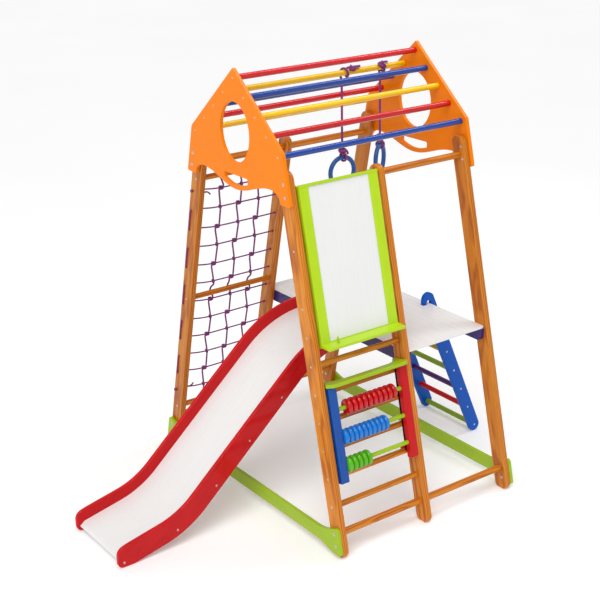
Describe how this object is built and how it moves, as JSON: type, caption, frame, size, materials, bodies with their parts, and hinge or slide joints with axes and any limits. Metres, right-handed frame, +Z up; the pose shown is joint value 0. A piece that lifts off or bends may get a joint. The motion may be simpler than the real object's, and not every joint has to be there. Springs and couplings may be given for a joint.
{
  "type": "kids indoor gym",
  "caption": "Wooden A-frame climbing gym with gabled roof bars, rope net, platform, lift-off slide and small ladder, hanging rings, bead counter and drawing board.",
  "frame": {"origin": "on the floor, under the middle of the whole object's box", "axes": "+Z up, X along the overhead bars with the slide's foot at -X and the small ladder at +X, Y to the rear with the net, drawing board at -Y"},
  "size_m": [1.7784, 1.2022, 1.695],
  "materials": {
    "honey_wood": "satin clear varnish over fine straight grain",
    "orange_lacquer": "gloss lacquered plywood",
    "lime_lacquer": "gloss lacquered wood",
    "red_lacquer": "gloss lacquered wood",
    "yellow_lacquer": "gloss lacquered wood",
    "blue_lacquer": "gloss lacquered wood",
    "sky_lacquer": "gloss lacquered wood",
    "green_lacquer": "gloss lacquered wood",
    "purple_lacquer": "satin lacquered wood",
    "ochre_lacquer": "satin lacquered wood",
    "white_laminate": "smooth white laminated board",
    "ring_blue": "smooth moulded plastic",
    "purple_rope": "twisted polypropylene rope"
  },
  "bodies": {
    "frame": {"post_front_left": "honey_wood", "post_front_middle": "honey_wood", "post_front_right": "honey_wood", "dowel_front_bottom": "honey_wood", "dowel_front_top": "honey_wood", "post_rear_left": "honey_wood", "post_rear_middle": "honey_wood", "post_rear_right": "honey_wood", "dowel_rear_bottom": "honey_wood", "dowel_rear_top": "honey_wood", "rung_front_1": "honey_wood", "rung_front_2": "honey_wood", "rung_front_3": "honey_wood", "rung_front_4": "honey_wood", "rung_front_5": "honey_wood", "rung_front_6": "honey_wood", "net_rung_bottom": "honey_wood", "net_rung_middle": "honey_wood", "net_rung_top": "honey_wood", "gable_left": "orange_lacquer", "base_bar_left": "lime_lacquer", "gable_right": "orange_lacquer", "base_bar_right": "lime_lacquer", "bar_apex": "red_lacquer", "bar_front_1": "blue_lacquer", "bar_front_2": "yellow_lacquer", "bar_front_3": "red_lacquer", "bar_front_4": "blue_lacquer", "bar_rear_1": "yellow_lacquer", "bar_rear_2": "blue_lacquer", "bar_rear_3": "red_lacquer", "bar_rear_4": "yellow_lacquer", "climbing_net": "purple_rope", "platform_board": "white_laminate", "platform_rail_left": "purple_lacquer", "platform_rail_right": "purple_lacquer", "abacus_shelf": "lime_lacquer", "abacus_rail_left": "blue_lacquer", "abacus_rail_right": "red_lacquer", "abacus_rod_top": "lime_lacquer", "abacus_rod_middle": "lime_lacquer", "abacus_rod_bottom": "lime_lacquer"},
    "slide": {"slide_frame": "red_lacquer", "slide_bed": "white_laminate"},
    "small_ladder": {"ladder_rail_near": "blue_lacquer", "ladder_rail_far": "blue_lacquer", "ladder_rung_1": "ochre_lacquer", "ladder_rung_2": "green_lacquer", "ladder_rung_3": "purple_lacquer", "ladder_rung_4": "red_lacquer", "ladder_rung_5": "green_lacquer"},
    "easel": {"easel_frame": "lime_lacquer", "easel_board": "white_laminate"},
    "beads_top": {"beads_red": "red_lacquer"},
    "beads_middle": {"beads_blue": "sky_lacquer"},
    "beads_bottom": {"beads_green": "green_lacquer"},
    "rope_left": {"ring_rope_left": "purple_rope"},
    "rope_right": {"ring_rope_right": "purple_rope"},
    "grip_left": {"ring_left": "ring_blue"},
    "grip_right": {"ring_right": "ring_blue"}
  },
  "joints": [
    {"name": "slide_lift_off", "type": "slide", "parent": "frame", "child": "slide", "axis": [0, 0, 1], "range_m": [0, 0.07]},
    {"name": "ladder_lift_off", "type": "slide", "parent": "frame", "child": "small_ladder", "axis": [0, 0, 1], "range_m": [0, 0.07]},
    {"name": "easel_lift_off", "type": "slide", "parent": "frame", "child": "easel", "axis": [0, 0.2182, 0.9759], "range_m": [0, 0.04]},
    {"name": "red_beads_slide", "type": "slide", "parent": "frame", "child": "beads_top", "axis": [1, 0, 0], "range_m": [-0.0319, 0.0319]},
    {"name": "blue_beads_slide", "type": "slide", "parent": "frame", "child": "beads_middle", "axis": [1, 0, 0], "range_m": [0, 0.0854]},
    {"name": "green_beads_slide", "type": "slide", "parent": "frame", "child": "beads_bottom", "axis": [1, 0, 0], "range_m": [0, 0.1836]},
    {"name": "left_rope_swing", "type": "hinge", "parent": "frame", "child": "rope_left", "pos_m": [0.30975, 0.066, 1.599], "axis": [1, 0, 0], "range_deg": [-35, 20]},
    {"name": "right_rope_swing", "type": "hinge", "parent": "frame", "child": "rope_right", "pos_m": [0.49975, 0.066, 1.599], "axis": [1, 0, 0], "range_deg": [-30, 16]},
    {"name": "left_ring_tilt", "type": "hinge", "parent": "rope_left", "child": "grip_left", "pos_m": [0.30975, 0.066, 1.268], "axis": [1, 0, 0], "range_deg": [-45, 45]},
    {"name": "right_ring_tilt", "type": "hinge", "parent": "rope_right", "child": "grip_right", "pos_m": [0.49975, 0.066, 1.288], "axis": [0.829, 0.5592, 0], "range_deg": [-45, 45]}
  ]
}
